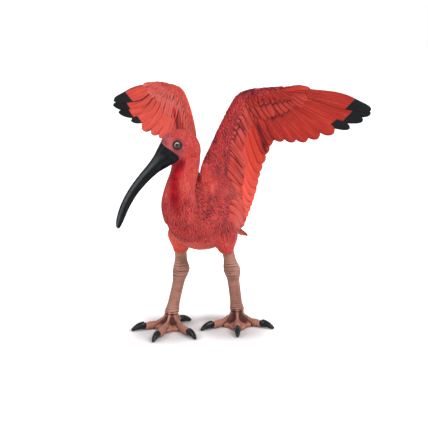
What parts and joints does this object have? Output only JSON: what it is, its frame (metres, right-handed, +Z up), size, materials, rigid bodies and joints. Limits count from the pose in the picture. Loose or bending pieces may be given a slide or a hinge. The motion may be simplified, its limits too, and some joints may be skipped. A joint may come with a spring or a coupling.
{
  "type": "toy ibis figure",
  "caption": "Painted toy figure of a scarlet ibis standing on webbed feet, both wings raised and spread, long bill curved down.",
  "frame": {"origin": "middle of the figure's box, on the plane the feet stand on", "axes": "the bird's breast faces -Y, its left side is +X, +Z is up"},
  "size_m": [0.1136, 0.072, 0.0959],
  "materials": {
    "plumage": "hand-painted scarlet with a dark red wash in the feather grooves",
    "neck_plumage": "hand-painted bright scarlet",
    "legs": "dull pink-brown paint with dark red-brown in the folds",
    "bill": "satin black paint",
    "claws": "glossy black paint",
    "eyes": "glossy painted eye, black with a pale gold iris"
  },
  "bodies": {
    "root": {"torso": "plumage", "neck": "neck_plumage", "head": "neck_plumage", "bill_upper": "bill", "bill_lower": "bill", "eye_left": "eyes", "eye_right": "eyes", "wing_left_inner": "plumage", "wing_left_outer": "plumage", "wing_right_inner": "plumage", "wing_right_outer": "plumage", "tail": "plumage", "thigh_left": "plumage", "thigh_right": "plumage", "shank_left": "legs", "shank_right": "legs", "foot_left": "legs", "foot_right": "legs", "claw_left_inner": "claws", "claw_left_middle": "claws", "claw_left_outer": "claws", "claw_left_hind": "claws", "claw_right_inner": "claws", "claw_right_middle": "claws", "claw_right_outer": "claws", "claw_right_hind": "claws"}
  },
  "joints": []
}
